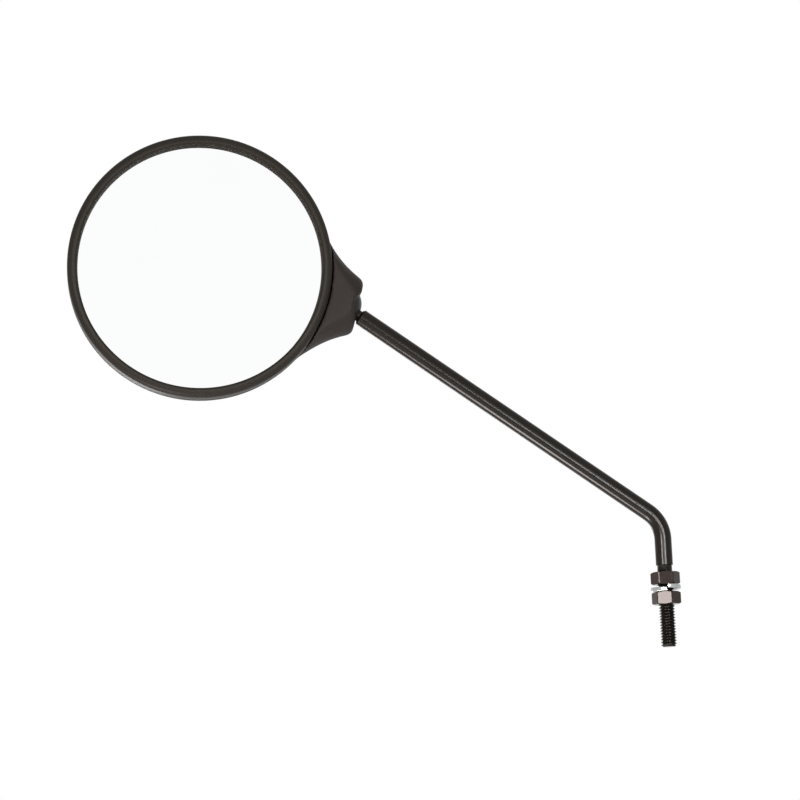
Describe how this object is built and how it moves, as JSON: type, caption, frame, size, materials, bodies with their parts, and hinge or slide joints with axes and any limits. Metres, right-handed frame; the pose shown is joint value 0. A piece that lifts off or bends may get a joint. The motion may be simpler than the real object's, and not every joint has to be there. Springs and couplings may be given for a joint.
{
  "type": "motorcycle mirror",
  "caption": "Round rear-view mirror for a motorcycle, on a bent steel stem with a threaded stud and a ball joint in the moulded head.",
  "frame": {"origin": "on the stud's axis, at the lower face of the lower nut, where the mirror meets the part that carries it", "axes": "Z along the stud's axis with the thread pointing to -Z; the glass faces -Y; the head stands out towards -X; the stem and the ball's centre lie in the plane Y = 0"},
  "size_m": [0.2941, 0.036, 0.2612],
  "materials": {
    "shell_plastic": "satin",
    "bezel_plastic": "satin",
    "mirror_glass": "mirror",
    "foam": "matte",
    "backing_plastic": "matte",
    "ball_plastic": "satin",
    "cup_plastic": "semi-gloss",
    "spring_steel": "satin",
    "plain_steel": "satin",
    "stem_coating": "gloss",
    "nut_coating": "satin",
    "zinc_plate": "bright"
  },
  "bodies": {
    "stem": {"stem": "stem_coating", "upper_nut": "nut_coating", "spring_washer": "zinc_plate", "lower_nut": "nut_coating"},
    "ball": {"pivot_ball": "ball_plastic"},
    "cup": {"pressure_cup": "cup_plastic"},
    "head": {"head_shell": "shell_plastic", "bezel_ring": "bezel_plastic", "mirror_glass": "mirror_glass", "glass_gasket": "foam", "backing_sheet": "backing_plastic", "cup_spring": "spring_steel", "spring_seat": "plain_steel", "spring_bracket": "plain_steel", "upper_bracket_screw": "plain_steel", "lower_bracket_screw": "plain_steel"}
  },
  "joints": [
    {"name": "ball_turn", "type": "hinge", "parent": "stem", "child": "ball", "pos_m": [-0.1527, 0, 0.15597], "axis": [-0.7986, 0, 0.6018], "continuous": true},
    {"name": "head_swing", "type": "hinge", "parent": "ball", "child": "cup", "pos_m": [-0.1527, 0, 0.15597], "axis": [0, 1, 0], "range_deg": [-1.2, 43.8]},
    {"name": "head_spin", "type": "hinge", "parent": "cup", "child": "head", "pos_m": [-0.1527, 0, 0.15597], "axis": [0.9627, 0, -0.2706], "continuous": true}
  ]
}
